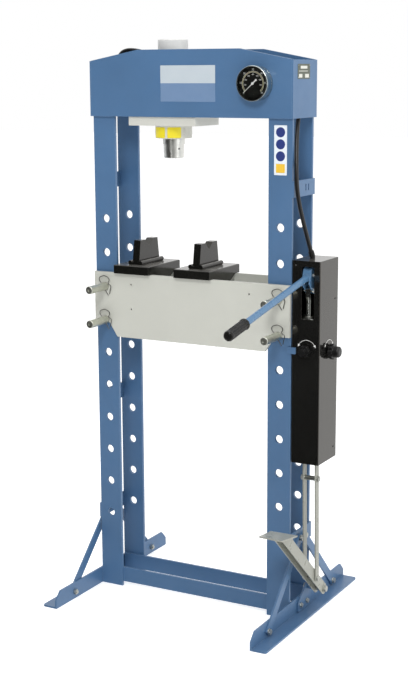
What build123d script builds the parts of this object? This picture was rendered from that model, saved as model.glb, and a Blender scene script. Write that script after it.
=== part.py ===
from build123d import *
import math
import os

os.makedirs("parts", exist_ok=True)

# ---------------------------------------------------------------- dimensions
# millimetres; X to the right, Y to the rear, Z up; X = 0 midway between the
# posts, Y = 0 mid depth, floor at Z = 0 (the whole is moved by SHIFT at export)
HEAD_TOP = 1800.0
HEAD_BOTTOM = 1592.0
HEAD_SHOULDER = 1766.0
HEAD_HALF = 360.0
HEAD_FLAT_HALF = 180.0
PLATE_INNER = 77.0
HEAD_T = 10.0
END_T = 5.0

POST_IN, POST_OUT = 275.0, 355.0
POST_T = 10.0
POST_TOP = 1665.0
HOLE_X = 315.0
HOLE_R = 13.5
HOLE_TOP = 1261.7
HOLE_PITCH = 111.4
HOLE_N = 10

TIE_T = 6.0
TIES = ((1355.0, 1405.0), (628.0, 680.0), (235.0, 285.0))
FOOT_LEN = 358.0
FOOT_LEG = 55.0

BED_T = 12.0
BED_TOP = 1087.0
PIN_R = 13.0
PIN_Z = (1039.0, 927.0)
PIN_Y0, PIN_Y1 = -187.0, 112.0
CLIP_Y = -98.0
CLIP_R = 1.4

AXIS_X = -100.5          # cylinder axis
BARREL_R = 48.0
BORE_R = 38.0
BARREL_TOP = 1832.0
ROD_R = 30.0
COLLAR_R = 59.0

GAUGE_X, GAUGE_Z, GAUGE_R = 240.0, 1696.0, 53.0

BOX_X0, BOX_X1 = 357.5, 451.0
BOX_Y0, BOX_Y1 = -77.0, 60.0
BOX_Z0, BOX_Z1 = 525.0, 1165.0
SHEET = 2.0
LEVER_X = 406.0
PIVOT_Y, PIVOT_Z = -31.0, 1080.0
PUMP_Y = -58.0
FOOT_PISTON_Y = -42.0
PEDAL_Y, PEDAL_Z = 47.0, 74.0
HOSE_R = 6.5

SHIFT = (-40.0, 121.643, 0.0)


# ------------------------------------------------------------------- helpers
def box(x0, x1, y0, y1, z0, z1):
    return Pos((x0 + x1) / 2, (y0 + y1) / 2, (z0 + z1) / 2) * Box(abs(x1 - x0), abs(y1 - y0), abs(z1 - z0))


def cyl_z(r, x, y, z0, z1):
    return Pos(x, y, (z0 + z1) / 2) * Cylinder(r, z1 - z0)


def cyl_y(r, x, z, y0, y1):
    return Pos(x, (y0 + y1) / 2, z) * Rot(90, 0, 0) * Cylinder(r, y1 - y0)


def cyl_x(r, y, z, x0, x1):
    return Pos((x0 + x1) / 2, y, z) * Rot(0, 90, 0) * Cylinder(r, x1 - x0)


def prism_yz(pts, x0, x1):
    f = make_face(Plane.YZ.offset(x0) * Polyline(*pts, close=True))
    return extrude(f, amount=x1 - x0, dir=(1, 0, 0))


def prism_xz(pts, y0, y1):
    f = make_face(Plane.XZ.offset(-y1) * Polyline(*pts, close=True))
    return extrude(f, amount=y1 - y0, dir=(0, -1, 0))


def prism_xy(pts, z0, z1):
    f = make_face(Plane.XY.offset(z0) * Polyline(*pts, close=True))
    return extrude(f, amount=z1 - z0, dir=(0, 0, 1))


def hex_x(r, y, z, x0, x1):
    f = Plane.YZ.offset(x0) * Pos(y, z) * RegularPolygon(r, 6)
    return extrude(f, amount=x1 - x0)


def hex_z(r, x, y, z0, z1):
    return extrude(Plane.XY.offset(z0) * Pos(x, y) * RegularPolygon(r, 6), amount=z1 - z0)


def rod(p, q, r):
    a, b = Vector(*p), Vector(*q)
    pl = Plane(origin=a, z_dir=(b - a))
    return extrude(pl * Circle(r), amount=(b - a).length)


def slab_y(shape, axis, size):
    # rounds the edges that run along one axis
    return fillet(shape.edges().filter_by(axis), size)


def mirror_x(s):
    return mirror(s, about=Plane.YZ)


def mirror_y(s):
    return mirror(s, about=Plane.XZ)


PARTS = {}


def put(name, *solids):
    out = []
    for s in solids:
        out += list(s.solids())
    PARTS[name] = out


# ---------------------------------------------------------------------- head
def head_outline():
    x = HEAD_HALF - END_T
    slope = (HEAD_TOP - HEAD_SHOULDER) / (HEAD_HALF - HEAD_FLAT_HALF)
    z = HEAD_SHOULDER + slope * END_T
    return [(-x, HEAD_BOTTOM), (x, HEAD_BOTTOM), (x, z), (HEAD_FLAT_HALF, HEAD_TOP),
            (-HEAD_FLAT_HALF, HEAD_TOP), (-x, z)]


front = prism_xz(head_outline(), -PLATE_INNER - HEAD_T, -PLATE_INNER)
front -= cyl_y(7, GAUGE_X, GAUGE_Z, -100, -60)
put("head_front_plate", front)
put("head_back_plate", prism_xz(head_outline(), PLATE_INNER, PLATE_INNER + HEAD_T))
edge = PLATE_INNER + HEAD_T
end_r = box(HEAD_HALF - END_T, HEAD_HALF, -edge, edge, HEAD_BOTTOM, HEAD_SHOULDER)
put("head_end_plates", end_r, mirror_x(end_r))
rail_f = box(-270, 270, -PLATE_INNER, -65, 1640, 1652)
put("head_rails", rail_f, mirror_y(rail_f))

# --------------------------------------------------------------------- posts
for side, sx in (("left", -1), ("right", 1)):
    for face, sy in (("front", -1), ("back", 1)):
        xs = sorted((sx * POST_IN, sx * POST_OUT))
        ys = sorted((sy * (PLATE_INNER - POST_T), sy * PLATE_INNER))
        p = box(*xs, *ys, 0, POST_TOP)
        for i in range(HOLE_N):
            p -= cyl_y(HOLE_R, sx * HOLE_X, HOLE_TOP - HOLE_PITCH * i, ys[0] - 1, ys[1] + 1)
        put(f"post_{face}_{side}", p)

tie = []
for k, (z0, z1) in enumerate(TIES):
    for sx in (-1, 1):
        if k == 1 or (k == 0 and sx < 0):
            t = box(*sorted((sx * POST_OUT, sx * (POST_OUT - TIE_T))), -PLATE_INNER + POST_T, PLATE_INNER - POST_T, z0, z1)
        else:
            t = box(*sorted((sx * POST_OUT, sx * (POST_OUT + TIE_T))), -PLATE_INNER, PLATE_INNER, z0, z1)
        if k == 2:
            for sy in (-1, 1):
                t -= cyl_x(5.2, sy * 16, 258, *sorted((sx * 350, sx * 370)))
        if k == 0 and sx == 1:
            for y in (10, 30):
                t -= box(350, 370, y - 3.5, y + 3.5, 1371, 1391)
        tie.append(t)
# small tab that retains the pump box at the post
tab = box(343, 372, -81, -PLATE_INNER, 873, 894)
tab = fillet(tab.edges().filter_by(Axis.Y), 2)
put("tie_plates", *tie, tab)

cross = box(-350, 350, -67, -59, 13, 64)
put("cross_members", cross, mirror_y(cross))


# ---------------------------------------------------------------------- feet
def foot():
    c = 27
    web = prism_yz([(-FOOT_LEN, 0), (FOOT_LEN, 0), (FOOT_LEN, FOOT_LEG - c), (FOOT_LEN - c, FOOT_LEG),
                    (-FOOT_LEN + c, FOOT_LEG), (-FOOT_LEN, FOOT_LEG - c)], POST_OUT, POST_OUT + 6)
    fl = box(POST_OUT, POST_OUT + FOOT_LEG, -FOOT_LEN, FOOT_LEN, 0, 6)
    fl = fillet(fl.edges().filter_by(Axis.Z).group_by(Axis.X)[-1], 9)
    f = web + fl
    for y in (-250, 250):
        f -= cyl_x(5.2, y, 24, 350, 370)
    return f


fr = foot()
fl_ = mirror_x(foot())
for y, z in ((-12, 27), (35, 27)):
    fr -= cyl_x(4.2, y, z, 350, 370)
put("foot_right", fr)
put("foot_left", fl_)

# diagonal flat bars, 45 degrees, bolted to the web of the foot and the low tie
h = 14
ux = math.sqrt(0.5)


def brace():
    a = (-250 - 9 * ux, 24 - 9 * ux)
    b = (-16 + 6 * ux, 258 + 6 * ux)
    d = h * ux
    pts = [(a[0] + d, a[1] - d), (b[0] + d, b[1] - d), (b[0] - d, b[1] + d), (a[0] - d, a[1] + d)]
    s = prism_yz(pts, 361, 367)
    s -= box(350, 380, -1, 40, 200, 320)
    s = fillet(s.edges().filter_by(Axis.X).group_by(Axis.Z)[0], 5)
    s -= cyl_x(5.2, -250, 24, 350, 370) + cyl_x(5.2, -16, 258, 350, 370)
    return s


br = brace()
put("braces", br, mirror_y(br), mirror_x(br), mirror_x(mirror_y(br)))


def brace_bolt(y, z):
    s = cyl_x(5.2, y, z, 343, 367.0) + cyl_x(10, y, z, 367, 368.6) + hex_x(9.4, y, z, 368.6, 375)
    s += hex_x(9.4, y, z, 346.5, 355)
    return s


bb = [brace_bolt(y, z) for y, z in ((-250, 24), (250, 24), (-16, 258), (16, 258))]
put("brace_bolts", *bb, *[mirror_x(b) for b in bb])


# ----------------------------------------------------------------------- bed
def bed_plate(y0, y1, head_side):
    pts = [(-355, BED_TOP), (355, BED_TOP), (355, 924), (303, 924), (270, 874), (-270, 874), (-303, 924), (-355, 924)]
    s = prism_xz(pts, y0, y1)
    for sx in (-1, 1):
        s -= cyl_y(HOLE_R, sx * HOLE_X, PIN_Z[0], y0 - 1, y1 + 1)
        s -= cyl_y(HOLE_R, sx * HOLE_X, PIN_Z[1], y0 - 1, y1 + 1)
        s -= box(sx * HOLE_X - HOLE_R, sx * HOLE_X + HOLE_R, y0 - 1, y1 + 1, 900, PIN_Z[1])
        for z in (1051, 970):
            s -= cyl_y(4, sx * 215, z, y0 - 1, y1 + 1)
            yo = y0 if head_side < 0 else y1
            s -= Pos(sx * 215, yo, z) * Rot(90 if head_side < 0 else -90, 0, 0) * Pos(0, 0, -1.25) * Cone(4, 6.5, 2.5)
    return s


bf = bed_plate(-PLATE_INNER - BED_T, -PLATE_INNER, -1)
bb_ = bed_plate(PLATE_INNER, PLATE_INNER + BED_T, 1)
put("bed_front_plate", bf)
put("bed_back_plate", bb_)
sp, sc = [], []
for sx in (-1, 1):
    for z in (1051, 970):
        r = cyl_y(10, sx * 215, z, -PLATE_INNER, PLATE_INNER)
        for sy in (-1, 1):
            r -= cyl_y(4, sx * 215, z, *sorted((sy * 55, sy * 78)))
            y = sy * (PLATE_INNER + BED_T)
            head = Pos(sx * 215, y, z) * Rot(90 if sy < 0 else -90, 0, 0) * Pos(0, 0, -1.25) * Cone(4, 6.5, 2.5)
            s = head + cyl_y(4, sx * 215, z, *sorted((sy * 58, sy * 87)))
            s -= Pos(sx * 215, y, z) * Rot(90, 0, 0) * extrude(RegularPolygon(2.9, 6), amount=5, both=True)
            sc.append(s)
        sp.append(r)
put("bed_spacers", *sp, *sc)


# pins and spring clips; the clip lies in a plane in front of the plate
def pin(x, z):
    s = cyl_y(PIN_R, x, z, PIN_Y0, PIN_Y1)
    s = chamfer(s.edges().filter_by(GeomType.CIRCLE), 1.5)
    s -= cyl_y(4, x, z, PIN_Y0 - 1, PIN_Y0 + 1.2)
    a, b = clip_leg(x, z)
    return s - rod(a, b, CLIP_R)


def clip_leg(x, z):
    return (x - 14, CLIP_Y, z + 18.8), (x + 18, CLIP_Y, z - 28)


def unit(a, b):
    d = [b[i] - a[i] for i in range(3)]
    n = math.sqrt(sum(c * c for c in d))
    return [c / n for c in d], n


def smooth_radii(pts, share=0.45):
    out = []
    for i in range(1, len(pts) - 1):
        u, n1 = unit(pts[i - 1], pts[i])
        v, n2 = unit(pts[i], pts[i + 1])
        turn = math.acos(max(-1, min(1, sum(u[k] * v[k] for k in range(3)))))
        out.append(share * min(n1, n2) / math.tan(turn / 2))
    return out


# straight leg through the pin, a wide flat loop above it, the outer leg
# bulging round the pin and coming back to the tip
CLIP = [(18, -28), (-8, 10), (-17.5, 21), (-15, 31.5), (2, 37), (17.5, 32.5), (22.5, 23), (14.5, 11.5), (29, 6),
        (22, -23)]


def clip(x, z):
    pts = [(x + a, CLIP_Y, z + b) for a, b in CLIP]
    w = FilletPolyline(*pts, radius=[min(r, 14) for r in smooth_radii(pts)])
    return sweep(Plane(origin=pts[0], z_dir=unit(pts[0], pts[1])[0]) * Circle(CLIP_R), path=w)


for side, sx in (("left", -1), ("right", 1)):
    for lvl, z in (("upper", PIN_Z[0]), ("lower", PIN_Z[1])):
        put(f"bed_pin_{lvl}_{side}", pin(sx * HOLE_X, z))
        put(f"pin_clip_{lvl}_{side}", clip(sx * HOLE_X, z))


# ------------------------------------------------------------------ V-blocks
def v_block(x):
    base = box(x - 65, x + 65, -104, 104, BED_TOP, BED_TOP + 28)
    base = chamfer(base.edges().group_by(Axis.Z)[-1], 2)
    lug = prism_yz([(-75, BED_TOP), (75, BED_TOP), (30, 1062), (-30, 1062)], x - 65, x + 65)
    yc = -6
    z0, z1 = BED_TOP + 28, 1194
    up = prism_yz([(yc - 66, z0), (yc + 66, z0), (yc + 54, z1), (yc + 25, z1), (yc, z1 - 23), (yc - 25, z1),
                   (yc - 54, z1)], x - 12.5, x + 12.5)
    s = base + lug + up
    for dx in (-19, 19):
        s += cyl_y(7.5, x + dx, z0 + 6.7, yc - 70, yc + 70)
    return s


put("v_block_left", v_block(-206))
put("v_block_right", v_block(18))

# ------------------------------------------------------ carriage and cylinder
cp = box(AXIS_X - 121, AXIS_X + 122, -79, 79, 1564, 1591.5)
cp -= cyl_z(BARREL_R, AXIS_X, 0, 1500, 1600)
cp = chamfer(cp.edges().filter_by(Axis.Z), 1.5)
studs, nuts = [], []
for x in (AXIS_X - 85, AXIS_X + 85):
    for y in (-45, 45):
        cp -= cyl_z(8, x, y, 1572, 1600)
        studs.append(cyl_z(8, x, y, 1572, 1689))
        n = hex_z(13.8, x, y, 1672.4, 1685) - cyl_z(8, x, y, 1670, 1690)
        nuts.append(n)
put("carriage_plate", cp)
hang = []
for x in (AXIS_X - 85, AXIS_X + 85):
    b = box(x - 15, x + 15, -76.4, 76.4, 1652.4, 1672.4)
    for y in (-45, 45):
        b -= cyl_z(8, x, y, 1650, 1680)
    hang.append(b)
put("carriage_hangers", *hang, *studs, *nuts)

barrel = cyl_z(BARREL_R, AXIS_X, 0, 1531, BARREL_TOP)
barrel = fillet(barrel.edges().group_by(Axis.Z)[-1], 2.5)
barrel -= cyl_z(BORE_R, AXIS_X, 0, 1530, 1812)
barrel -= cyl_x(5, 0, 1784, AXIS_X - 70, AXIS_X - 30)
put("cylinder_barrel", barrel)
put("cylinder_gland", cyl_z(BORE_R, AXIS_X, 0, 1531, 1551) - cyl_z(ROD_R + 0.05, AXIS_X, 0, 1530, 1552))
collar = cyl_z(COLLAR_R, AXIS_X, 0, 1523, 1564)
collar = chamfer(collar.edges().group_by(Axis.Z)[0], 1.5)
collar -= cyl_z(BARREL_R, AXIS_X, 0, 1531, 1570) + cyl_z(32, AXIS_X, 0, 1520, 1532)
cs = []
for z in (1555, 1537):
    a = math.radians(-28)
    d = (math.cos(a), math.sin(a))
    p = (AXIS_X + d[0] * BARREL_R, d[1] * BARREL_R, z)
    q = (AXIS_X + d[0] * (COLLAR_R - 1), d[1] * (COLLAR_R - 1), z)
    out_ = (AXIS_X + d[0] * (COLLAR_R + 5), d[1] * (COLLAR_R + 5), z)
    collar -= rod(p, out_, 4)
    s = rod(p, q, 4)
    cs.append(s)
put("cylinder_collar", collar, *cs)

ram = cyl_z(ROD_R, AXIS_X, 0, 1480, 1702) + cyl_z(BORE_R - 0.05, AXIS_X, 0, 1702, 1742)
ram -= cyl_z(18, AXIS_X, 0, 1580, 1760)
put("ram", ram)
nose = cyl_z(33, AXIS_X, 0, 1476, 1504) + cyl_z(35.8, AXIS_X, 0, 1504, 1522.4)
nose = chamfer(nose.edges().group_by(Axis.Z)[-1], 1.2)
nose -= cyl_z(ROD_R, AXIS_X, 0, 1480, 1530)
put("ram_nose", nose)
pad = cyl_z(32, AXIS_X, 0, 1460, 1476)
pad = chamfer(pad.edges().group_by(Axis.Z)[0], 2)
put("thrust_pad", pad)

# return spring inside the hollow ram: closed coil wound from 3.6 mm wire
z0s, z1s, pitch = 1581.8, 1810.2, 8.4
path = Pos(AXIS_X, 0, z0s) * Helix(pitch=pitch, height=z1s - z0s, radius=12)
t0 = path % 0
p0 = path @ 0
put("return_spring", sweep(Plane(origin=p0, z_dir=t0) * Circle(1.8), path=path, is_frenet=True))

# hose route, from the pump box up the outside of the post into the head,
# along the head, up in a loop and down to the port on the barrel
HOSE = [(391, -14, 1187), (380, -31, 1247), (370.5, -74, 1361), (364.5, -71, 1455), (345, -22, 1590),
        (330, 64, 1696), (172, 66, 1687), (18, 65, 1690), (-138, 66, 1686), (-295, 64, 1684),
        (-331, 20.5, 1757.7), (-267, -13.5, 1815.3), (-182, 3, 1785)]

radii = smooth_radii(HOSE)
print("hose radii", [round(r, 1) for r in radii])
hp = FilletPolyline(*HOSE, radius=radii)
print("hose length mm", round(hp.length, 1))
hose = sweep(Plane(origin=HOSE[0], z_dir=unit(HOSE[0], HOSE[1])[0]) * Circle(HOSE_R), path=hp)
put("hydraulic_hose", hose)
u, _ = unit(HOSE[1], HOSE[0])
u0 = [HOSE[0][k] + u[k] * 16 for k in range(3)]
fit = rod(u0, HOSE[0], 9) + cyl_z(8, 394.2, -9.3, BOX_Z1, 1174)
put("hose_fitting", fit)
u, _ = unit(HOSE[-2], HOSE[-1])
q1 = [HOSE[-1][k] + u[k] * 17 for k in range(3)]
pf = rod(HOSE[-1], q1, 9) + cyl_x(8.5, 0, 1784, AXIS_X - 67, AXIS_X - 40)
pf -= cyl_z(BARREL_R, AXIS_X, 0, 1700, 1800) - cyl_x(5, 0, 1784, AXIS_X - 70, AXIS_X - 30)
pf -= cyl_z(BORE_R, AXIS_X, 0, 1700, 1800)
put("port_fitting", pf)

# --------------------------------------------------------------------- gauge
gy = -PLATE_INNER - HEAD_T
case = cyl_y(GAUGE_R, GAUGE_X, GAUGE_Z, gy - 37, gy)
case = fillet(case.edges().group_by(Axis.Y)[0], 2.5)
case -= cyl_y(GAUGE_R - 2, GAUGE_X, GAUGE_Z, gy - 35, gy - 3)
case -= cyl_y(GAUGE_R - 4.5, GAUGE_X, GAUGE_Z, gy - 41, gy - 34)
for g0, g1 in ((gy - 29.5, gy - 27.5), (gy - 9.5, gy - 7.5)):
    case -= cyl_y(GAUGE_R + 3, GAUGE_X, GAUGE_Z, g0, g1) - cyl_y(GAUGE_R - 1.1, GAUGE_X, GAUGE_Z, g0 - 1, g1 + 1)
case -= cyl_y(7, GAUGE_X, GAUGE_Z, gy - 4, gy + 1)
put("gauge_case", case)
put("gauge_dial", cyl_y(GAUGE_R - 2, GAUGE_X, GAUGE_Z, gy - 28, gy - 27) - cyl_y(1.55, GAUGE_X, GAUGE_Z, gy - 31, gy - 26))
put("gauge_glass", cyl_y(GAUGE_R - 2, GAUGE_X, GAUGE_Z, gy - 35, gy - 33))
na = math.radians(222)
nd = (math.cos(na), math.sin(na))
npd = (-nd[1], nd[0])


def nrel(a, b):
    return (GAUGE_X + nd[0] * a + npd[0] * b, GAUGE_Z + nd[1] * a + npd[1] * b)


needle = prism_xz([nrel(-14, -2.2), nrel(-3, -1.5), nrel(42, -0.4), nrel(42, 0.4), nrel(-3, 1.5), nrel(-14, 2.2)],
                  gy - 31.5, gy - 30.3)
tx, tz = nrel(-15, 0)
needle += cyl_y(3.2, tx, tz, gy - 31.5, gy - 30.3)
needle += cyl_y(4, GAUGE_X, GAUGE_Z, gy - 32.2, gy - 30.0) + cyl_y(1.5, GAUGE_X, GAUGE_Z, gy - 31, gy - 20)
put("gauge_needle", needle)
tube = Pos(GAUGE_X, gy - 11, GAUGE_Z) * Rot(90, 0, 0) * Torus(33, 3.2)
tube -= box(GAUGE_X, GAUGE_X + 60, gy - 20, gy, GAUGE_Z - 60, GAUGE_Z)
blk = box(GAUGE_X - 11, GAUGE_X + 11, gy - 24, gy - 3, GAUGE_Z - 36, GAUGE_Z + 12)
blk -= cyl_y(1.55, GAUGE_X, GAUGE_Z, gy - 26, gy - 18)
stem = cyl_y(7, GAUGE_X, GAUGE_Z, gy - 5, -56)
put("gauge_tube", blk + tube + stem)

# ------------------------------------------------------------------ pump box
shell = box(BOX_X0, BOX_X1, BOX_Y0, BOX_Y1 - SHEET, BOX_Z0, BOX_Z1)
shell = fillet(shell.edges().filter_by(Axis.Z).group_by(Axis.Y)[0], 3)
inner = box(BOX_X0 + SHEET, BOX_X1 - SHEET, BOX_Y0 + SHEET, BOX_Y1, BOX_Z0 - 1, BOX_Z1 - SHEET)
shell -= inner
slot = box(389, 431, BOX_Y0 - 1, BOX_Y0 + SHEET + 1, 985, 1148)
slot = fillet(slot.edges().filter_by(Axis.Y), 4)
shell -= slot
KF = (408.0, 888.0)      # front knob axis x, z
KS = (-5.0, 877.0)       # side knob axis y, z
shell -= cyl_y(8, KF[0], KF[1], BOX_Y0 - 1, BOX_Y0 + 4)
shell -= cyl_x(8, KS[0], KS[1], BOX_X1 - 4, BOX_X1 + 1)
put("pump_box", shell)
put("pump_box_back", box(BOX_X0, BOX_X1, BOX_Y1 - SHEET, BOX_Y1, BOX_Z0, BOX_Z1))

block = box(BOX_X0 + SHEET, 440, -72, 40, 870, 985)
block = chamfer(block.edges().filter_by(Axis.X), 2)
block += cyl_z(15, LEVER_X + 1, PUMP_Y, 985, 993)
lug = box(400, 412, PIVOT_Y - 12, PIVOT_Y + 13, 980, PIVOT_Z) + cyl_x(12.5, PIVOT_Y, PIVOT_Z, 400, 412)
lug -= cyl_z(12, LEVER_X + 1, PUMP_Y, 993.5, 1100)
block += lug
block -= cyl_x(5.05, PIVOT_Y, PIVOT_Z, 395, 415)
block -= cyl_z(11.05, LEVER_X + 1, PUMP_Y, 930, 1000)
block -= cyl_z(10.05, LEVER_X + 1, FOOT_PISTON_Y, 860, 922)
block -= cyl_y(4.05, KF[0] , KF[1], -80, -60) + cyl_x(4.05, KS[0], KS[1], 428, 445)
put("pump_block", block)

# hand plunger with a flat eye; the eye hole is larger than its pin
plunger = cyl_z(11, LEVER_X + 1, PUMP_Y, 938, 1052)
eye = box(LEVER_X + 1 - 8, LEVER_X + 1 + 8, PUMP_Y - 9.4, PUMP_Y + 9.4, 1046, 1073.3)
eye += cyl_x(9.4, PUMP_Y, 1073.3, LEVER_X + 1 - 8, LEVER_X + 1 + 8)
plunger += eye
plunger -= cyl_x(6.2, PUMP_Y, 1073.3, 380, 430)
put("pump_plunger", plunger)

fp = cyl_z(10, LEVER_X + 1, FOOT_PISTON_Y, 848, 918)
fp += box(398, 416, FOOT_PISTON_Y - 14, FOOT_PISTON_Y + 14, 824, 852)
fp -= cyl_x(8.6, FOOT_PISTON_Y, 838, 380, 430)
put("foot_plunger", fp)

# hand lever: tube with a forked end plate each side of the pivot lug
ang = math.atan2(1117 - 1043, 472 - 60)
ld = (-math.cos(ang), -math.sin(ang))
A0 = (-60.0, 1117.0)


def on_lever(s):
    return (LEVER_X, A0[0] + ld[0] * s, A0[1] + ld[1] * s)


side_pts = [(-86, 1096), (-50, 1061), (-22, 1067), (-16, 1083), (-22, 1138), (-30, 1146), (-60, 1146), (-72, 1138),
            (-79, 1118)]


def lever_plate(x0, x1):
    s = prism_yz(side_pts, x0, x1)
    s = fillet(s.edges().filter_by(Axis.X), 3)
    for py_, pz_ in ((PIVOT_Y, PIVOT_Z), (PUMP_Y, 1073.3)):
        s -= cyl_x(5.0, py_, pz_, x0 - 1, x1 + 1)
    return s


lever = rod(on_lever(-22), on_lever(22), 12) + rod(on_lever(10), on_lever(538), 10)
lever -= rod(on_lever(45), on_lever(545), 7.5)
print("lever tube", round(lever.volume), [round(v) for v in tuple(lever.bounding_box().min)])
cap = prism_yz([(-79, 1112), (-73, 1136), (-60, 1144), (-33, 1144), (-33, 1138), (-58, 1138), (-68, 1132), (-73, 1112)],
               395, 417)
lever = lever + cap
lever = lever + lever_plate(392.2, 396.2)
lever = lever + lever_plate(416, 420)
print("lever", round(lever.volume), len(lever.solids()), [round(v) for v in tuple(lever.bounding_box().min)])
put("hand_lever", lever)
pv = cyl_x(5.0, PIVOT_Y, PIVOT_Z, 389.5, 424) + cyl_x(7.5, PIVOT_Y, PIVOT_Z, 420, 424) + cyl_x(7, PIVOT_Y, PIVOT_Z, 389.5, 392.2)
pp = cyl_x(5.0, PUMP_Y, 1073.3, 389.5, 433) + hex_x(8.1, PUMP_Y, 1073.3, 420, 428) + cyl_x(7, PUMP_Y, 1073.3, 389.5, 392.2)
clamp = cyl_x(3.4, -67, 1121, 420, 431) + hex_x(5.5, -67, 1121, 422.5, 427)
clamp += cyl_z(1.6, 429.3, -67, 1112, 1130)
put("lever_pins", pv, pp, clamp)
g0, g1 = on_lever(442), on_lever(548)
grip = rod(g0, g1, 15.4)
grip = fillet(grip.edges().filter_by(GeomType.CIRCLE), 5)
grip += rod(on_lever(442), on_lever(447), 17)
grip -= rod(on_lever(410), on_lever(538), 10)
put("lever_grip", grip)


# knobs: stem in the pump block, lobed or round head outside the box
def knob_front():
    x, z = KF
    s = cyl_y(4, x, z, -115, -62) + cyl_y(7, x, z, -88, -66 - 9.0)
    s += cyl_y(16, x, z, -104, -88)
    for i in range(6):
        a = math.radians(60 * i)
        s += cyl_y(5, x + 13.5 * math.cos(a), z + 13.5 * math.sin(a), -104, -88)
    s += cyl_y(10, x, z, -115, -104)
    return s


def knob_side():
    y, z = KS
    s = cyl_x(4, y, z, 430, 480) + cyl_x(7, y, z, 451.6, 456) + cyl_x(18, y, z, 456, 470)
    for i in range(8):
        a = math.radians(45 * i)
        s += cyl_x(6, y + 19 * math.cos(a), z + 19 * math.sin(a), 456, 469)
    body = cyl_x(17.5, y, z, 470, 490)
    body = fillet(body.edges().group_by(Axis.X)[-1], 7)
    return s + body


put("front_knob", knob_front())
put("side_knob", knob_side())

# ------------------------------------------------------------- pedal linkage
PIN_B = (-22.0, 133.0)
PIN_T = (FOOT_PISTON_Y, 838.0)
sd, sn = unit((PIN_B[0], PIN_B[1], 0), (PIN_T[0], PIN_T[1], 0))
w = 11


def strap(x0, x1):
    n = (-sd[1] * w, sd[0] * w)
    s = prism_yz([(PIN_B[0] + n[0], PIN_B[1] + n[1]), (PIN_B[0] - n[0], PIN_B[1] - n[1]),
                  (PIN_T[0] - n[0], PIN_T[1] - n[1]), (PIN_T[0] + n[0], PIN_T[1] + n[1])], x0, x1)
    s += cyl_x(w, *PIN_B, x0, x1) + cyl_x(w, *PIN_T, x0, x1)
    s -= cyl_x(5, *PIN_B, x0 - 1, x1 + 1) + cyl_x(5, *PIN_T, x0 - 1, x1 + 1) + cyl_x(5, *PIN_M, x0 - 1, x1 + 1)
    return s


tm = (468 - PIN_B[1]) / sd[1]
PIN_M = (PIN_B[0] + sd[0] * tm, 468.0)
put("pedal_straps", strap(383, 388), strap(424.5, 429.5))
sb = cyl_x(5, *PIN_B, 379, 433) + cyl_x(8, *PIN_B, 379, 383) + cyl_x(8, *PIN_B, 429.5, 433)
st = cyl_x(5, *PIN_T, 380, 432) + cyl_x(8, *PIN_T, 380, 383) + cyl_x(8, *PIN_T, 429.5, 432)
sm = cyl_x(5, *PIN_M, 376, 430) + hex_x(9.2, *PIN_M, 429.5, 436) + hex_x(9.2, *PIN_M, 375, 383) + cyl_x(7.5, *PIN_M, 388, 424.5)
put("strap_pins", sb, st, sm)

rear0, rear1 = (-198.0, 316.0), (58.0, 86.0)


def arm_side(x0, x1):
    s = prism_yz([(-285.8, 347.2), (-211, 335.2), (-197, 315), (58, 87), (52, 60), (36, 59)], x0, x1)
    s += cyl_x(18, PEDAL_Y, PEDAL_Z, x0, x1)
    s -= cyl_x(6.05, PEDAL_Y, PEDAL_Z, x0 - 1, x1 + 1) + cyl_x(5.05, *PIN_B, x0 - 1, x1 + 1)
    return s


web = prism_yz([(-210.5, 336), (-197, 315), (58, 87), (56, 84.8), (-199.2, 313), (-213.5, 336)], 393, 423)
treadle = prism_yz([(-340, 359.3), (-196, 335.7), (-196.6, 331.7), (-340.6, 355.3)], 340, 460)
outline = prism_xy([(366, -320), (354, -212), (446, -212), (448, -333)], 300, 400)
treadle = treadle & fillet(outline.edges().filter_by(Axis.Z), 4)
pedal = treadle + web
pedal = pedal + arm_side(393, 396)
pedal = pedal + arm_side(420, 423)
print("pedal", len(pedal.solids()), round(pedal.volume))
put("pedal", pedal)

brk = prism_yz([(-30, 6.5), (63, 6.5), (64, 74), (57, 88), (38, 88), (-22, 46), (-30, 40)], 361, 367)
brk = fillet(brk.edges().filter_by(Axis.X), 4)
brk += cyl_x(9.5, PEDAL_Y, PEDAL_Z, 366, 392.6)
brk -= cyl_x(6, PEDAL_Y, PEDAL_Z, 350, 400)
for y, z in ((-12, 27), (35, 27)):
    brk -= cyl_x(4.2, y, z, 350, 370)
put("pedal_bracket", brk)
pb = cyl_x(6, PEDAL_Y, PEDAL_Z, 352, 425) + cyl_x(12, PEDAL_Y, PEDAL_Z, 423.4, 425) + hex_x(10.4, PEDAL_Y, PEDAL_Z, 425, 432)
pb += hex_x(10.4, PEDAL_Y, PEDAL_Z, 353, 361) + cyl_x(9.5, PEDAL_Y, PEDAL_Z, 396.4, 419.6)
fb = []
for y, z in ((-12, 27), (35, 27)):
    fb.append(cyl_x(4.2, y, z, 346, 368) + cyl_x(8.5, y, z, 367, 368.4) + hex_x(7.6, y, z, 368.4, 373.5) + hex_x(7.6, y, z, 348.5, 355))
put("pedal_bolts", pb, *fb)

# -------------------------------------------------------------------- export
for name, solids in PARTS.items():
    moved = [Pos(*SHIFT) * s for s in solids]
    shape = moved[0] if len(moved) == 1 else Compound(children=moved)
    export_step(shape, f"parts/{name}.step")

lo, hi = [1e9] * 3, [-1e9] * 3
for name, solids in PARTS.items():
    if name == "hydraulic_hose":
        continue
    for s in solids:
        b = s.bounding_box()
        for k, (a, c) in enumerate(zip(b.min, b.max)):
            lo[k], hi[k] = min(lo[k], a), max(hi[k], c)
print("nodes", len(PARTS))
print("box before shift", [round(v, 3) for v in lo], [round(v, 3) for v in hi])
print("centre", [round((lo[k] + hi[k]) / 2, 4) for k in range(3)])
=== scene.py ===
import math

import bmesh
import bpy
from mathutils import Matrix, Vector


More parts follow.
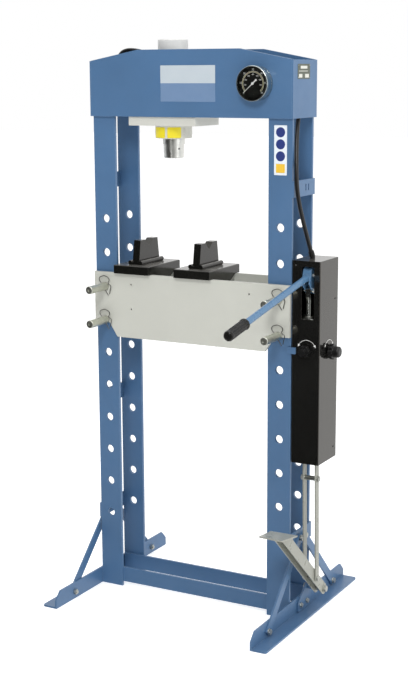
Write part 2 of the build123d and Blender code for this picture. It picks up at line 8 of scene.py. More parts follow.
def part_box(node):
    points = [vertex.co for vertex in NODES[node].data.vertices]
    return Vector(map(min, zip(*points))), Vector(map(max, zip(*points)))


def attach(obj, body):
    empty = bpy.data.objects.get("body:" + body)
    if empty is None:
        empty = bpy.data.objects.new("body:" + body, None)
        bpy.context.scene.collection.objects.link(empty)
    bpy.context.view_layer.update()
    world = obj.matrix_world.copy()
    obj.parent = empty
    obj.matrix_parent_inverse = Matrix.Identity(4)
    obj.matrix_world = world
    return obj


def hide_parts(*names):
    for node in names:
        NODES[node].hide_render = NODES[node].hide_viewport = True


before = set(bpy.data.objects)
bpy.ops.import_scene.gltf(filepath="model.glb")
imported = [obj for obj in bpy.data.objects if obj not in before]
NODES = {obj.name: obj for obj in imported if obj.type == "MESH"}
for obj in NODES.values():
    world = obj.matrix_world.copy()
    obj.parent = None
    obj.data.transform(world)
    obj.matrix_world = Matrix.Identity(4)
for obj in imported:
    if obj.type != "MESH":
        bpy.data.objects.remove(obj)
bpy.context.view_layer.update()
scene = bpy.context.scene
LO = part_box("post_front_left")[0]
# offset from the construction frame (mm) to the row frame (m)
OX, OY = LO[0] + 0.355, LO[1] + 0.077


def P(x, y, z):
    return Vector((x / 1000 + OX, y / 1000 + OY, z / 1000))


# ------------------------------------------------------------------ camera
az, el, ro = math.radians(28.585), math.radians(11.274), math.radians(-0.268)
fw = Vector((-math.sin(az) * math.cos(el), math.cos(az) * math.cos(el), -math.sin(el)))
rt = Vector((math.cos(az), math.sin(az), 0))
up = rt.cross(fw)
right = rt * math.cos(ro) + up * math.sin(ro)
upv = -rt * math.sin(ro) + up * math.cos(ro)
cam_data = bpy.data.cameras.new("camera")
cam_data.lens = 71.818
cam_data.sensor_width = 36
cam_data.sensor_fit = "AUTO"
cam_data.clip_end = 50
cam = bpy.data.objects.new("camera", cam_data)
scene.collection.objects.link(cam)
m = Matrix((right, upv, -fw)).transposed().to_4x4()
m.translation = Vector((2.11726 + OX, -3.87413 + OY, 1.73455))
cam.matrix_world = m
scene.camera = cam
scene.view_settings.view_transform = "Standard"


# ------------------------------------------------------------------ helpers
def new_mat(name):
    mt = bpy.data.materials.new(name)
    mt.use_nodes = True
    nt = mt.node_tree
    b = nt.nodes["Principled BSDF"]
    return mt, nt, b


def node(nt, kind, **kw):
    n = nt.nodes.new(kind)
    for k, v in kw.items():
        setattr(n, k, v)
    return n


def noise(nt, coord, scale, detail=4.0, rough=0.55):
    n = node(nt, "ShaderNodeTexNoise")
    n.inputs["Scale"].default_value = scale
    n.inputs["Detail"].default_value = detail
    n.inputs["Roughness"].default_value = rough
    nt.links.new(coord, n.inputs["Vector"])
    return n.outputs["Fac"]


def mrange(nt, val, a, b, c, d):
    n = node(nt, "ShaderNodeMapRange")
    n.clamp = True
    for i, v in zip(("From Min", "From Max", "To Min", "To Max"), (a, b, c, d)):
        n.inputs[i].default_value = v
    nt.links.new(val, n.inputs["Value"])
    return n.outputs["Result"]


def mixc(nt, fac, a, b):
    n = node(nt, "ShaderNodeMix", data_type="RGBA")
    if isinstance(fac, float):
        n.inputs[0].default_value = fac
    else:
        nt.links.new(fac, n.inputs[0])
    for idx, v in ((6, a), (7, b)):
        if isinstance(v, (tuple, list)):
            n.inputs[idx].default_value = (*v[:3], 1)
        else:
            nt.links.new(v, n.inputs[idx])
    return n.outputs[2]


def math_(nt, op, a, b):
    n = node(nt, "ShaderNodeMath", operation=op)
    for i, v in enumerate((a, b)):
        if isinstance(v, (int, float)):
            n.inputs[i].default_value = v
        else:
            nt.links.new(v, n.inputs[i])
    return n.outputs[0]


def finish_mat(nt, b, coord, grain, depth, strength, bevel=0.0012):
    bv = node(nt, "ShaderNodeBevel", samples=4)
    bv.inputs["Radius"].default_value = bevel
    bump = node(nt, "ShaderNodeBump")
    bump.inputs["Strength"].default_value = strength
    bump.inputs["Distance"].default_value = depth
    nt.links.new(noise(nt, coord, grain, 3, 0.6), bump.inputs["Height"])
    nt.links.new(bv.outputs["Normal"], bump.inputs["Normal"])
    nt.links.new(bump.outputs["Normal"], b.inputs["Normal"])
    g = node(nt, "ShaderNodeNewGeometry")
    d = node(nt, "ShaderNodeVectorMath", operation="DOT_PRODUCT")
    nt.links.new(bv.outputs["Normal"], d.inputs[0])
    nt.links.new(g.outputs["Normal"], d.inputs[1])
    return mrange(nt, d.outputs["Value"], 0.995, 0.86, 0.0, 1.0)


def paint(name, col, rough=0.38, edge=None, vary=0.10, grain=420.0, depth=0.0004, strength=0.18, spec=0.5, painted_top_sheen=0.0,
          edge_amount=0.5, coat=0.0, ior=1.5):
    mt, nt, b = new_mat(name)
    tc = node(nt, "ShaderNodeTexCoord")
    co = tc.outputs["Object"]
    wear = finish_mat(nt, b, co, grain, depth, strength)
    lo = [c * (1 - vary) for c in col]
    hi = [min(1, c * (1 + vary)) for c in col]
    base = mixc(nt, mrange(nt, noise(nt, co, 3.2, 5, 0.6), 0.3, 0.7, 0.0, 1.0), lo, hi)
    speck = mrange(nt, noise(nt, co, 90, 4, 0.7), 0.66, 0.76, 0.0, 0.35)
    base = mixc(nt, speck, base, [min(1, c * 1.35 + 0.01) for c in col])
    # painted highlight: upward faces are mixed towards a pale tone, patchy by noise, standing in for the glare of
    # light on the tops
    if painted_top_sheen > 0:
        g = node(nt, "ShaderNodeNewGeometry")
        sx = node(nt, "ShaderNodeSeparateXYZ")
        nt.links.new(g.outputs["Normal"], sx.inputs[0])
        f = mrange(nt, sx.outputs["Z"], 0.6, 1.0, 0.0, painted_top_sheen)
        f = math_(nt, "MULTIPLY", f, mrange(nt, noise(nt, co, 14, 5, 0.65), 0.35, 0.7, 0.3, 1.0))
        base = mixc(nt, f, base, (0.5, 0.48, 0.44))
    e = edge or [min(1, c * 1.8 + 0.03) for c in col]
    w = math_(nt, "MULTIPLY", wear, mrange(nt, noise(nt, co, 38, 5, 0.7), 0.38, 0.62, 0.15, edge_amount))
    base = mixc(nt, w, base, e)
    nt.links.new(base, b.inputs["Base Color"])
    nt.links.new(mrange(nt, noise(nt, co, 24, 4, 0.6), 0.3, 0.7, rough * 0.82, min(1, rough * 1.2)), b.inputs["Roughness"])
    b.inputs["Specular IOR Level"].default_value = spec
    b.inputs["IOR"].default_value = ior
    b.inputs["Coat Weight"].default_value = coat
    b.inputs["Coat Roughness"].default_value = 0.12
    return mt


def metal(name, col, rough, vary=0.08, aniso_axis=None, grain=600.0, dirt=(0.12, 0.11, 0.09), dirt_amount=0.15, metallic=1.0,
          strength=0.1):
    mt, nt, b = new_mat(name)
    tc = node(nt, "ShaderNodeTexCoord")
    co = tc.outputs["Object"]
    if aniso_axis is not None:
        mp = node(nt, "ShaderNodeMapping")
        sc = [1.0, 1.0, 1.0]
        sc[aniso_axis] = 60.0
        mp.inputs["Scale"].default_value = sc
        nt.links.new(co, mp.inputs["Vector"])
        gco = mp.outputs["Vector"]
        grain = 12.0
    else:
        gco = co
    wear = finish_mat(nt, b, gco, grain, 0.00025, strength, 0.0006)
    lo = [c * (1 - vary) for c in col]
    hi = [min(1, c * (1 + vary)) for c in col]
    base = mixc(nt, mrange(nt, noise(nt, co, 40, 4, 0.6), 0.3, 0.7, 0.0, 1.0), lo, hi)
    f = mrange(nt, noise(nt, co, 55, 6, 0.7), 0.5, 0.8, 0.0, dirt_amount)
    base = mixc(nt, f, base, dirt)
    nt.links.new(base, b.inputs["Base Color"])
    b.inputs["Metallic"].default_value = metallic
    nt.links.new(mrange(nt, noise(nt, co, 60, 4, 0.65), 0.3, 0.7, rough * 0.75, min(1, rough * 1.3)), b.inputs["Roughness"])
    return mt


# in these calls the upward-face amount sets how strongly the painted highlight lightens the tops
BLUE = paint("frame_blue", (0.068, 0.148, 0.280), rough=0.34, edge=(0.22, 0.34, 0.50), vary=0.07, painted_top_sheen=0.04)
LEVER_BLUE = paint("lever_blue", (0.080, 0.175, 0.305), rough=0.28, edge=(0.30, 0.42, 0.56), vary=0.06, painted_top_sheen=0.0)
GREY = paint("bed_grey", (0.505, 0.51, 0.462), rough=0.42, edge=(0.80, 0.80, 0.76), vary=0.035, painted_top_sheen=0.0, grain=380)
CREAM = paint("carriage_grey", (0.56, 0.56, 0.51), rough=0.40, edge=(0.85, 0.84, 0.8), vary=0.03)
CYL = paint("cylinder_grey", (0.68, 0.68, 0.66), rough=0.32, edge=(0.8, 0.8, 0.8), vary=0.04)
BLACK = paint("block_black", (0.007, 0.007, 0.006), rough=0.17, edge=(0.06, 0.06, 0.055), vary=0.25, ior=1.6, painted_top_sheen=0.4, grain=260, depth=0.0003)
BLACK.node_tree.nodes["Principled BSDF"].inputs["Specular Tint"].default_value = (1.0, 0.97, 0.93, 1)
GLOSS = paint("pump_black", (0.0075, 0.0075, 0.007), rough=0.10, edge=(0.05, 0.05, 0.05), vary=0.2, grain=160, depth=0.00012,
              strength=0.08, painted_top_sheen=0.2, ior=1.68, spec=0.6, edge_amount=0.3)
GLOSS.node_tree.nodes["Principled BSDF"].inputs["Specular Tint"].default_value = (0.98, 0.92, 0.83, 1)
PEDAL = paint("pedal_grey", (0.30, 0.305, 0.265), rough=0.30, edge=(0.72, 0.72, 0.68), vary=0.06, painted_top_sheen=0.04)
ZINC = metal("zinc", (0.50, 0.51, 0.475), 0.34, 0.10, dirt_amount=0.3)
CHROME = metal("chrome", (0.72, 0.72, 0.72), 0.10, 0.03, dirt_amount=0.05)
TURNED = metal("turned_steel", (0.78, 0.78, 0.74), 0.33, 0.06, aniso_axis=2, dirt_amount=0.15, strength=0.4)
BRONZE = metal("bronze", (0.50, 0.30, 0.12), 0.3, 0.1)
PLASTIC = paint("black_plastic", (0.006, 0.006, 0.006), rough=0.30, edge=(0.06, 0.06, 0.06), vary=0.15, grain=700, strength=0.12)
RUBBER = paint("grip_rubber", (0.007, 0.007, 0.006), rough=0.26, edge=(0.03, 0.03, 0.03), vary=0.2, grain=900, strength=0.2, ior=1.36)
HOSEM = paint("hose_rubber", (0.006, 0.006, 0.006), rough=0.34, edge=(0.05, 0.05, 0.05), vary=0.25, grain=1200, strength=0.35)
DIAL = paint("dial_black", (0.006, 0.006, 0.005), rough=0.45, vary=0.15, grain=900, strength=0.05, spec=0.1)
WHITE = paint("enamel_white", (0.80, 0.80, 0.77), rough=0.4, vary=0.03, edge=(0.8, 0.8, 0.8), strength=0.05)
OCHRE = paint("dial_ochre", (0.34, 0.30, 0.13), rough=0.5, vary=0.06, strength=0.05)
YELLOW = paint("field_yellow", (0.74, 0.62, 0.012), rough=0.42, vary=0.05, strength=0.05)
AMBER = paint("field_amber", (0.80, 0.50, 0.04), rough=0.42, vary=0.05, strength=0.05)
DISC = paint("field_blue", (0.020, 0.038, 0.19), rough=0.42, vary=0.06, strength=0.05)
PALE = paint("field_pale", (0.66, 0.66, 0.60), rough=0.42, vary=0.04, strength=0.05)
SCREW = metal("dark_screw", (0.10, 0.10, 0.10), 0.35, 0.1)
PINS = metal("pin_steel", (0.70, 0.71, 0.63), 0.42, 0.08, dirt_amount=0.35)
CASE = metal("case_steel", (0.50, 0.55, 0.54), 0.20, 0.06, dirt_amount=0.1, metallic=1.0)
PINNUT = metal("bright_nut", (0.86, 0.86, 0.82), 0.26, 0.06, dirt_amount=0.1)
ROD = metal("plunger_chrome", (0.62, 0.64, 0.60), 0.14, 0.06, dirt_amount=0.2)
STRIPW = paint("strip_white", (0.70, 0.75, 0.80), rough=0.4, vary=0.02, edge=(0.8, 0.8, 0.8), strength=0.05)
WIRE = metal("clip_wire", (0.16, 0.16, 0.15), 0.32, 0.1)
TAG = paint("tag_olive", (0.085, 0.098, 0.070), rough=0.4, vary=0.06, strength=0.05)
FITTING = metal("black_oxide", (0.03, 0.03, 0.03), 0.38, 0.15, metallic=0.8)

glass, nt, b = new_mat("gauge_glass")
b.inputs["Base Color"].default_value = (0.95, 0.97, 0.97, 1)
b.inputs["Transmission Weight"].default_value = 1.0
b.inputs["IOR"].default_value = 1.12
tc = node(nt, "ShaderNodeTexCoord")
nt.links.new(mrange(nt, noise(nt, tc.outputs["Object"], 60, 3), 0.3, 0.7, 0.02, 0.06), b.inputs["Roughness"])


# plaque: pale upper field, light blue lower field, split along z
def plaque_mat():
    mt, nt, b = new_mat("plaque_fields")
    tc = node(nt, "ShaderNodeTexCoord")
    co = tc.outputs["Object"]
    s = node(nt, "ShaderNodeSeparateXYZ")
    nt.links.new(co, s.inputs[0])
    f = mrange(nt, s.outputs["Z"], 1.6962, 1.6968, 0.0, 1.0)
    lower = mixc(nt, noise(nt, co, 30, 3), (0.13, 0.215, 0.36), (0.16, 0.245, 0.39))
    upper = mixc(nt, noise(nt, co, 24, 3), (0.43, 0.495, 0.545), (0.49, 0.54, 0.575))
    nt.links.new(mixc(nt, f, lower, upper), b.inputs["Base Color"])
    nt.links.new(mrange(nt, noise(nt, co, 40, 3), 0.3, 0.7, 0.28, 0.40), b.inputs["Roughness"])
    bump = node(nt, "ShaderNodeBump")
    bump.inputs["Strength"].default_value = 0.06
    bump.inputs["Distance"].default_value = 0.0003
    nt.links.new(noise(nt, co, 300, 3), bump.inputs["Height"])
    nt.links.new(bump.outputs["Normal"], b.inputs["Normal"])
    return mt


PLAQUE = plaque_mat()


def assign(name, mt):
    o = NODES[name]
    o.data.materials.clear()
    o.data.materials.append(mt)


for n in NODES:
    if n.startswith(("head_", "post_", "tie_", "foot_left", "foot_right", "cross_", "braces")) or n == "pedal_bracket":
        assign(n, BLUE)
    elif n == "hand_lever":
        assign(n, LEVER_BLUE)
    elif n in ("bed_front_plate", "bed_back_plate"):
        assign(n, GREY)
    elif n in ("carriage_plate", "cylinder_collar"):
        assign(n, CREAM)
    elif n == "cylinder_barrel":
        assign(n, CYL)
    elif n.startswith("v_block"):
        assign(n, BLACK)
    elif n in ("pump_box", "pump_box_back"):
        assign(n, GLOSS)
    elif n in ("ram", "ram_nose", "thrust_pad"):
        assign(n, TURNED)
    elif n in ("pump_plunger", "foot_plunger"):
        assign(n, ROD)
    elif n == "gauge_case":
        assign(n, CASE)
    elif n.startswith("bed_pin"):
        assign(n, PINS)
    elif n in ("gauge_tube", "cylinder_gland"):
        assign(n, BRONZE)
    elif n in ("front_knob", "side_knob"):
        assign(n, PLASTIC)
    elif n == "gauge_dial":
        assign(n, DIAL)
    elif n == "gauge_needle":
        assign(n, WHITE)
    elif n == "gauge_glass":
        assign(n, glass)
    elif n in ("pedal", "pedal_straps"):
        assign(n, PEDAL)
    elif n == "lever_pins":
        assign(n, PINNUT)
    elif n == "hydraulic_hose":
        assign(n, HOSEM)
    elif n == "lever_grip":
        assign(n, RUBBER)
    elif n == "bed_spacers":
        assign(n, GREY)
    elif n.startswith("pin_clip"):
        assign(n, WIRE)
    elif n == "hose_fitting":
        assign(n, FITTING)
    else:
        assign(n, ZINC)


def smooth_by_angle(o, deg=32):
    for p in o.data.polygons:
        p.use_smooth = True
    try:
        o.data.set_sharp_from_angle(angle=math.radians(deg))
    except Exception:
        pass


def mesh_obj(name, verts, faces, mt, body):
    me = bpy.data.meshes.new(name)
    me.from_pydata([tuple(v) for v in verts], [], faces)
    me.update()
    o = bpy.data.objects.new(name, me)
    scene.collection.objects.link(o)
    bm = bmesh.new()
    bm.from_mesh(me)
    bmesh.ops.recalc_face_normals(bm, faces=bm.faces)
    bm.to_mesh(me)
    bm.free()
    me.materials.append(mt)
    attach(o, body)
    return o


def slab(name, outline, to3, thick, mt, body):
    """thin plate with a raised bevelled rim: outline in (u, v) mm, to3(u, v, w) gives the point w mm out of the surface"""
    n = len(outline)
    cu = sum(p[0] for p in outline) / n
    cv = sum(p[1] for p in outline) / n
    k = 0.25

    def inset(p):
        d = math.hypot(p[0] - cu, p[1] - cv)
        f = (d - k) / d if d > 0 else 1
        return (cu + (p[0] - cu) * f, cv + (p[1] - cv) * f)

    verts = [to3(u, v, 0.0) for u, v in outline] + [to3(u, v, thick * 0.6) for u, v in outline]
    verts += [to3(*inset(p), thick) for p in outline]
    faces = [tuple(range(n))]
    for r in (0, 1):
        for i in range(n):
            j = (i + 1) % n
            faces.append((r * n + i, r * n + j, (r + 1) * n + j, (r + 1) * n + i))
    faces.append(tuple(range(2 * n, 3 * n)))
    return mesh_obj(name, verts, faces, mt, body)


def round_rect(u0, u1, v0, v1, r, k=6):
    out = []
    for cx, cy, a in ((u1 - r, v1 - r, 0), (u0 + r, v1 - r, 90), (u0 + r, v0 + r, 180), (u1 - r, v0 + r, 270)):
        for i in range(k + 1):
            t = math.radians(a + 90 * i / k)
            out.append((cx + r * math.cos(t), cy + r * math.sin(t)))
    return out


def disc(cx, cy, r, n=48):
    return [(cx + r * math.cos(2 * math.pi * i / n), cy + r * math.sin(2 * math.pi * i / n)) for i in range(n)]


def front(y):
    return lambda u, v, w: P(u, y - w, v)


def side(x):
    return lambda u, v, w: P(x + w, u, v)


# ------------------------------------------------------------------ fields of colour
slab("head_plaque", round_rect(-97, 97, 1640, 1751, 2), front(-87), 0.6, PLAQUE, "frame")
slab("post_strip", round_rect(293.5, 336.5, 1422, 1572, 2), front(-77), 0.4, STRIPW, "frame")
for i, z in enumerate((1551, 1515, 1479)):
    slab(f"post_strip_disc_{i}", disc(315, z, 15.2), front(-77.4), 0.15, DISC, "frame")
slab("post_strip_amber", round_rect(300, 330, 1429, 1456, 2), front(-77.4), 0.15, AMBER, "frame")
slab("end_plate_tag", round_rect(-56, 32, 1709, 1753, 2), side(360), 0.8, TAG, "frame")
for k, (a, c, d, e) in enumerate(((-36, 12, 1739, 1747.5), (-48, 16, 1731, 1733), (-48, -24, 1712.5, 1723.5), (-4, 24, 1712.5, 1723.5))):
    slab(f"end_plate_tag_field_{k}", round_rect(a, c, d, e, 0.9), side(360.8), 0.1, PALE, "frame")


# patches wrapped on the round collar
def collar_patch(name, a_mid, width, z0, z1):
    r0, r1 = 59.0, 59.35
    half = width / r0 / 2
    k, q = 20, 5
    verts, faces = [], []
    rows = []
    for r in (r0, r1):
        for i in range(k + 1):
            t = -half + 2 * half * i / k
            # rounded ends: shorten the height near the sides
            e = max(0.0, 1 - (half - abs(t)) * r0 / 3.0)
            cut = 3.0 * (1 - math.sqrt(max(0.0, 1 - e * e)))
            for j in range(q + 1):
                z = z0 + cut + (z1 - z0 - 2 * cut) * j / q
                a = math.radians(a_mid) + t
                verts.append(P(-100.5 + r * math.sin(a), -r * math.cos(a), z))
    s = (k + 1) * (q + 1)
    for L in (0, 1):
        for i in range(k):
            for j in range(q):
                a = L * s + i * (q + 1) + j
                faces.append((a, a + 1, a + q + 2, a + q + 1))
    for i in range(k):
        for j in (0, q):
            a = i * (q + 1) + j
            faces.append((a, a + q + 1, a + q + 1 + s, a + s))
    for j in range(q):
        for i in (0, k):
            a = i * (q + 1) + j
            faces.append((a, a + 1, a + 1 + s, a + s))
    o = mesh_obj(name, verts, faces, YELLOW, "carriage")
    smooth_by_angle(o, 50)


collar_patch("collar_field_right", 31.2, 45, 1525, 1559)
collar_patch("collar_field_left", -22.6, 50, 1525, 1559)
# ------------------------------------------------------------------ gauge face
GY = -114.0


def arc_band(name, r0, r1, a0, a1, y, mt, thick=0.15, n=64, cx=240.0, cz=1696.0, mk=front, body="frame"):
    out = []
    for i in range(n + 1):
        a = math.radians(a0 + (a1 - a0) * i / n)
        out.append((cx + r1 * math.cos(a), cz + r1 * math.sin(a)))
    for i in range(n, -1, -1):
        a = math.radians(a0 + (a1 - a0) * i / n)
        out.append((cx + r0 * math.cos(a), cz + r0 * math.sin(a)))
    to3 = mk(y)
    h = n + 1
    verts = [to3(u, v, thick) for u, v in out] + [to3(u, v, 0) for u, v in out]
    N = len(out)
    faces = []
    for i in range(n):
        faces.append((i, i + 1, N - 2 - i, N - 1 - i))
        faces.append((N + i, N + i + 1, N + N - 2 - i, N + N - 1 - i))
    for i in range(N):
        j = (i + 1) % N
        faces.append((i, j, N + j, N + i))
    return mesh_obj(name, verts, faces, mt, body)


A_START, A_SPAN = 222.0, 264.0
arc_band("gauge_rim_lip", 48.5, 49.8, 0.0, 360.0, -124.0, DIAL, 0.12, 96)
arc_band("dial_scale_line", 36.3, 36.8, A_START, A_START - A_SPAN, GY - 1.0, WHITE)
arc_band("dial_ochre_ring", 33.2, 35.7, A_START, A_START - A_SPAN, GY - 1.0, OCHRE)
arc_band("dial_inner_line", 32.4, 32.8, A_START, A_START - A_SPAN, GY - 1.0, WHITE)
tv, tf = [], []
for i in range(61):
    a = math.radians(A_START - A_SPAN * i / 60)
    big, mid = i % 10 == 0, i % 5 == 0
    r0 = 36.2
    r1 = 37.6 if big else (37.2 if mid else 36.9)
    wdt = 0.6 if big else (0.4 if mid else 0.22)
    d = (math.cos(a), math.sin(a))
    q = (-d[1], d[0])
    base = len(tv)
    for w in (0.0, 0.15):
        for r, s in ((r0, -1), (r1, -1), (r1, 1), (r0, 1)):
            tv.append(P(240 + d[0] * r + q[0] * wdt * s, GY - 1.0 - w, 1696 + d[1] * r + q[1] * wdt * s))
    tf += [(base, base + 1, base + 2, base + 3), (base + 4, base + 5, base + 6, base + 7)]
    for k in range(4):
        l = (k + 1) % 4
        tf.append((base + k, base + l, base + 4 + l, base + 4 + k))
mesh_obj("dial_ticks", tv, tf, WHITE, "frame")
NUMS = [(str(k * 10), A_START - A_SPAN * k / 6, 41.4, 0.0074) for k in range(7)]
NUMS += [(str(k * 100), A_START - A_SPAN * k / 8, 26.5, 0.0056) for k in range(1, 8)]
for i, (txt, deg, NUM_R, size) in enumerate(NUMS):
    a = math.radians(deg)
    cu = bpy.data.curves.new(f"num_{i}", "FONT")
    cu.body = txt
    cu.size = size
    cu.extrude = 0.00006
    cu.align_x, cu.align_y = "CENTER", "CENTER"
    tmp = bpy.data.objects.new(f"num_tmp_{i}", cu)
    scene.collection.objects.link(tmp)
    bpy.context.view_layer.update()
    me = bpy.data.meshes.new_from_object(tmp)
    bpy.data.objects.remove(tmp)
    c = P(240 + NUM_R * math.cos(a), GY - 1.1, 1696 + NUM_R * math.sin(a))
    me.transform(Matrix.Translation(c) @ Matrix.Rotation(math.radians(90), 4, "X"))
    o = bpy.data.objects.new(f"dial_number_{i}", me)
    scene.collection.objects.link(o)
    me.materials.clear()
    me.materials.append(WHITE)
    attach(o, "frame")

# ------------------------------------------------------------------ knob arcs with arrow heads


def arrow_arc(name, mk, cx, cz, r, a0, a1, thick=0.2, w=1.6, at=0.0):
    arc_band(name, r - w / 2, r + w / 2, a0, a1, at, WHITE, thick, 32, cx, cz, mk)
    for k, (a, s) in enumerate(((a0, -1), (a1, 1))):
        a = math.radians(a)
        sgn = s * (1 if a1 > a0 else -1)
        d = (math.cos(a), math.sin(a))
        t = (-d[1] * sgn, d[0] * sgn)
        pts = [(cx + d[0] * (r - 4) - t[0] * 0.5, cz + d[1] * (r - 4) - t[1] * 0.5),
               (cx + d[0] * (r + 4) - t[0] * 0.5, cz + d[1] * (r + 4) - t[1] * 0.5),
               (cx + d[0] * r + t[0] * 8, cz + d[1] * r + t[1] * 8)]
        to3 = mk(at)
        mesh_obj(f"{name}_head_{k}", [to3(u, v, 0) for u, v in pts] + [to3(u, v, thick) for u, v in pts],
                 [(0, 1, 2), (3, 4, 5), (0, 1, 4, 3), (1, 2, 5, 4), (2, 0, 3, 5)], WHITE, "frame")


arrow_arc("front_knob_arc", front, 408, 890, 30, 150, 30, at=-77, w=1.3)
arrow_arc("side_knob_arc", side, -5, 877, 36, 140, 40, at=451)


# painted shade: dark discs at the bottom of the hex sockets in the flush bed screws, standing in for the shade inside
# the sockets
for k, (x, z) in enumerate(((-215, 1051), (-215, 970), (215, 1051), (215, 970))):
    slab(f"socket_shade_front_{k}", disc(x, z, 2.8, 12), front(-84.0), 0.15, DIAL, "frame")
    slab(f"socket_shade_back_{k}", disc(x, z, 2.8, 12), (lambda u, v, w: P(u, 84.0 + w, v)), 0.15, DIAL, "frame")


# small screws on the box: domed heads with a cross slot
def screw(name, to3, u, v, r, body="frame", mt=None):
    verts, faces = [], []
    prof = [(r, 0.0), (r, 0.5), (r * 0.86, 1.3), (r * 0.55, 1.9), (r * 0.2, 2.1)]
    n = 24
    for rr, w in prof:
        for i in range(n):
            a = 2 * math.pi * i / n
            ww = w
            if rr < r * 0.6 and (abs(math.sin(2 * a)) < 0.3):
                ww = w - 0.9
            verts.append(to3(u + rr * math.cos(a), v + rr * math.sin(a), ww))
    for k in range(len(prof) - 1):
        for i in range(n):
            j = (i + 1) % n
            faces.append((k * n + i, k * n + j, (k + 1) * n + j, (k + 1) * n + i))
    faces.append(tuple(range(n)))
    faces.append(tuple(range((len(prof) - 1) * n, len(prof) * n)))
    return mesh_obj(name, verts, faces, mt or ZINC, body)


screw("box_screw_front_low", front(-77), 369, 960, 3.0, mt=SCREW)
screw("box_screw_front_top", front(-77), 369, 1150, 3.0, mt=SCREW)
screw("box_screw_side", side(451), 40, 1037, 3.0, mt=SCREW)
screw("box_screw_side_low", side(451), 40, 560, 3.0, mt=SCREW)
for k, (x, z) in enumerate(((368, 1150), (444, 1150), (368, 540), (444, 540), (368, 845), (444, 845))):
    screw(f"box_screw_back_{k}", (lambda u, v, w: P(u, 60 + w, v)), x, z, 3.2)
for k, (y, z) in enumerate(((-52, 1713), (28, 1713), (-52, 1749), (28, 1749))):
    screw(f"tag_rivet_{k}", side(360.8), y, z, 1.5)

# dark socket in the ram nose
slab("nose_socket", disc(0, 1490, 3.2, 24), (lambda u, v, w: P(-100.5 + (33.05 + w) * math.sin(math.radians(60) + u / 33),
     -(33.05 + w) * math.cos(math.radians(60) + u / 33), v)), 0.1, SCREW, "ram")

# ------------------------------------------------------------------ grip
ang = math.atan2(1117 - 1043, 472 - 60)
LD = Vector((0, -math.cos(ang), -math.sin(ang)))
LN = Vector((0, -math.sin(ang), math.cos(ang)))


def lever_pt(s, r, a):
    c = Vector((406, -60, 1117)) + LD * s + Vector((1, 0, 0)) * (r * math.cos(a)) + LN * (r * math.sin(a))
    return P(c.x, c.y, c.z)


prof = [(442.0, 10.2, 0), (442.0, 16.0, 0), (443.0, 16.9, 0), (445.5, 17.0, 0), (447.5, 16.2, 0), (449.0, 14.9, 0),
        (450.5, 15.4, 1), (534.0, 15.4, 1), (535.5, 14.8, 0), (537.0, 15.4, 0), (542, 15.2, 0), (545.8, 13.6, 0),
        (547.4, 10.5, 0), (548.0, 5.0, 0)]
rings = []
for k, (s, r, f) in enumerate(prof):
    rings.append((s, r, f))
    if f and prof[k + 1][2]:
        for q in range(1, 20):
            rings.append((s + (prof[k + 1][0] - s) * q / 20, r + 0.12 * math.sin(q * 1.7), f))
N = 132
verts, faces = [], []
for s, r, f in rings:
    for i in range(N):
        a = 2 * math.pi * i / N
        verts.append(lever_pt(s, r - (2.6 * (0.5 - 0.5 * math.cos(12 * a)) if f else 0.0), a))
for k in range(len(rings) - 1):
    for i in range(N):
        j = (i + 1) % N
        faces.append((k * N + i, k * N + j, (k + 1) * N + j, (k + 1) * N + i))
faces.append(tuple(range((len(rings) - 1) * N, len(rings) * N)))
grip = mesh_obj("ribbed_grip", verts, faces, RUBBER, "lever")
smooth_by_angle(grip, 50)
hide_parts("lever_grip")

# ------------------------------------------------------------------ hose
HOSE = [(391, -14, 1187), (380, -31, 1247), (370.5, -74, 1361), (364.5, -71, 1455), (345, -22, 1590),
        (330, 64, 1696), (172, 66, 1687), (18, 65, 1690), (-138, 66, 1686), (-295, 64, 1684),
        (-331, 20.5, 1757.7), (-267, -13.5, 1815.3), (-182, 3, 1785)]
cu = bpy.data.curves.new("hydraulic_hose_curve", "CURVE")
cu.dimensions = "3D"
sp = cu.splines.new("NURBS")
sp.points.add(len(HOSE) - 1)
for i, h in enumerate(HOSE):
    sp.points[i].co = (*P(*h), 1)
sp.order_u = 3
sp.use_endpoint_u = True
sp.resolution_u = 16
cu.bevel_depth = 0.0065
cu.bevel_resolution = 6
cu.use_fill_caps = True
hose = bpy.data.objects.new("hose", cu)
scene.collection.objects.link(hose)
cu.materials.append(HOSEM)
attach(hose, "frame")
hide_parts("hydraulic_hose")


# ------------------------------------------------------------------ weld beads
def bead(name, p, q, r, body="frame", mt=None):
    """rippled fillet bead from p to q (mm)"""
    a, c = Vector(p), Vector(q)
    d = (c - a)
    L = d.length
    d.normalize()
    e = Vector((0, 0, 1)) if abs(d.z) < 0.9 else Vector((1, 0, 0))
    u = d.cross(e).normalized()
    v = d.cross(u)
    n, k = 10, max(6, int(L / 2.2))
    verts, faces = [], []
    for i in range(k + 1):
        t = i / k
        rr = r * (0.86 + 0.14 * math.sin(i * 1.9) + 0.05 * math.sin(i * 0.37)) * (0.35 if i in (0, k) else 1)
        for j in range(n):
            w = 2 * math.pi * j / n
            pt = a + d * (L * t) + u * (rr * math.cos(w)) + v * (rr * math.sin(w))
            verts.append(P(*pt))
    for i in range(k):
        for j in range(n):
            l = (j + 1) % n
            faces.append((i * n + j, i * n + l, (i + 1) * n + l, (i + 1) * n + j))
    faces.append(tuple(range(n)))
    faces.append(tuple(range(k * n, (k + 1) * n)))
    o = mesh_obj(name, verts, faces, mt or BLUE, body)
    smooth_by_angle(o, 60)
    return o


for sx in (-1, 1):
    for sy in (-1, 1):
        tag = f"{'l' if sx < 0 else 'r'}{'f' if sy < 0 else 'b'}"
        x0, x1 = sorted((sx * 277, sx * 353))
        bead(f"weld_post_head_{tag}", (x0, sy * 77.6, 1592.2), (x1, sy * 77.6, 1592.2), 2.0)
        bead(f"weld_foot_post_{tag}", (sx * 354.6, sy * 77.4, 3), (sx * 354.6, sy * 77.4, 53), 1.7)
        bead(f"weld_cross_{tag}", (sx * 275, sy * 66.6, 16), (sx * 275, sy * 66.6, 61), 1.6)

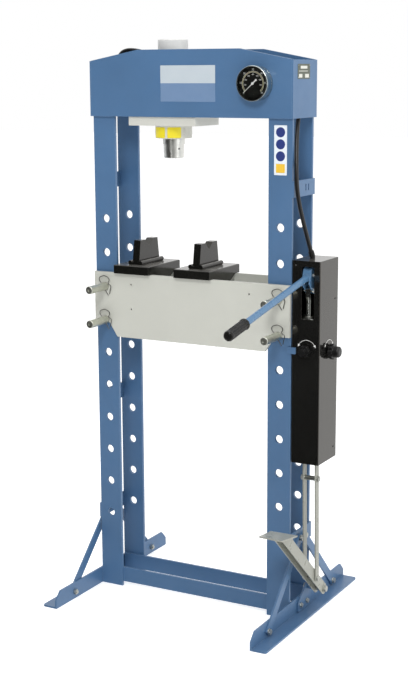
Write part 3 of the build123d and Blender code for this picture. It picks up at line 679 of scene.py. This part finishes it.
# ------------------------------------------------------------------ stage
bpy.ops.mesh.primitive_plane_add(size=60, location=(0, 0, -0.0005))
floor = bpy.context.object
floor.name = "floor"
fm, nt, b = new_mat("floor_pale")
tc = node(nt, "ShaderNodeTexCoord")
nt.links.new(mixc(nt, noise(nt, tc.outputs["Object"], 1.2, 3), (0.90, 0.90, 0.90), (0.94, 0.94, 0.94)), b.inputs["Base Color"])
b.inputs["Roughness"].default_value = 0.9
b.inputs["Emission Color"].default_value = (1, 1, 1, 1)
b.inputs["Emission Strength"].default_value = 0.42
floor.data.materials.append(fm)
floor.visible_glossy = False

world = bpy.data.worlds.new("studio")
scene.world = world
world.use_nodes = True
nt = world.node_tree
bg = nt.nodes["Background"]
tc = node(nt, "ShaderNodeTexCoord")
dot = node(nt, "ShaderNodeVectorMath", operation="DOT_PRODUCT")
nt.links.new(tc.outputs["Generated"], dot.inputs[0])
dot.inputs[1].default_value = Vector((-0.25, -0.95, -0.05)).normalized()
dark = mrange(nt, dot.outputs["Value"], 0.15, 0.80, 1.0, 0.015)
lp = node(nt, "ShaderNodeLightPath")
fac = math_(nt, "MAXIMUM", dark, lp.outputs["Is Camera Ray"])
nt.links.new(mixc(nt, fac, (0.0, 0.0, 0.0), (1.0, 1.0, 1.0)), bg.inputs["Color"])
bg.inputs["Strength"].default_value = 1.0


def area(name, loc, target, size, power, col=(1, 1, 1)):
    ld = bpy.data.lights.new(name, "AREA")
    ld.shape = "RECTANGLE"
    ld.size, ld.size_y = size
    ld.energy = power
    ld.color = col
    o = bpy.data.objects.new(name, ld)
    scene.collection.objects.link(o)
    o.location = loc
    o.rotation_euler = (Vector(target) - Vector(loc)).to_track_quat("-Z", "Y").to_euler()
    return o


area("key", (1.3, -3.6, 3.9), (0, 0, 1.0), (1.2, 1.2), 95)
area("fill_right", (3.4, -0.6, 1.8), (0, 0, 1.0), (1.5, 2.4), 12)
area("strip", (-0.1, -4.2, 1.2), (0, 0, 1.1), (0.35, 2.4), 7)
area("top", (0, 0.2, 4.2), (0, 0, 0), (3.0, 3.0), 40)
